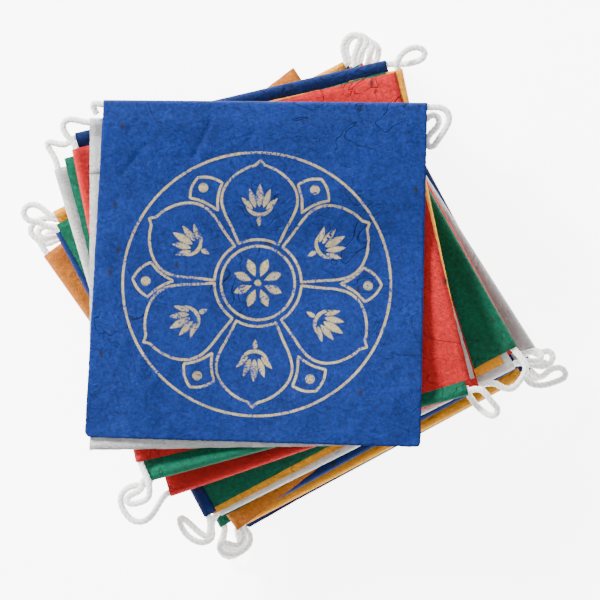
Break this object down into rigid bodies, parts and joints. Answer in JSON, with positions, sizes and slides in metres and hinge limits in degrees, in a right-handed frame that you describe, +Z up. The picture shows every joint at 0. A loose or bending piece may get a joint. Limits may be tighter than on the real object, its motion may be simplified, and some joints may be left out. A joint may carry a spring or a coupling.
{
  "type": "tibetan prayer flag string",
  "caption": "Square paper prayer flags in five colours, folded over one cotton cord and stacked in a fan, the top one printed.",
  "frame": {"origin": "middle of the stack's box, on the surface that it lies on", "axes": "+Z up out of the stack, +Y towards the top flag's folded heading, +X along that heading"},
  "size_m": [0.211, 0.2018, 0.063],
  "materials": {
    "paper_blue": "matte",
    "paper_white": "matte",
    "paper_red": "matte",
    "paper_green": "matte",
    "paper_yellow": "matte",
    "cord_cotton": "matte"
  },
  "bodies": {
    "root": {"flag_01_blue": "paper_blue", "flag_02_white": "paper_white", "flag_03_red": "paper_red", "flag_04_green": "paper_green", "flag_05_yellow": "paper_yellow", "flag_06_blue": "paper_blue", "flag_07_white": "paper_white", "flag_08_red": "paper_red", "flag_09_green": "paper_green", "flag_10_yellow": "paper_yellow", "flag_11_blue": "paper_blue", "flag_12_white": "paper_white", "flag_13_red": "paper_red", "flag_14_green": "paper_green", "flag_15_yellow": "paper_yellow", "flag_16_blue": "paper_blue", "flag_17_white": "paper_white", "flag_18_red": "paper_red", "flag_19_green": "paper_green", "flag_20_yellow": "paper_yellow", "flag_21_blue": "paper_blue", "flag_22_white": "paper_white", "flag_23_red": "paper_red", "flag_24_green": "paper_green", "flag_25_yellow": "paper_yellow", "cord": "cord_cotton"}
  },
  "joints": []
}
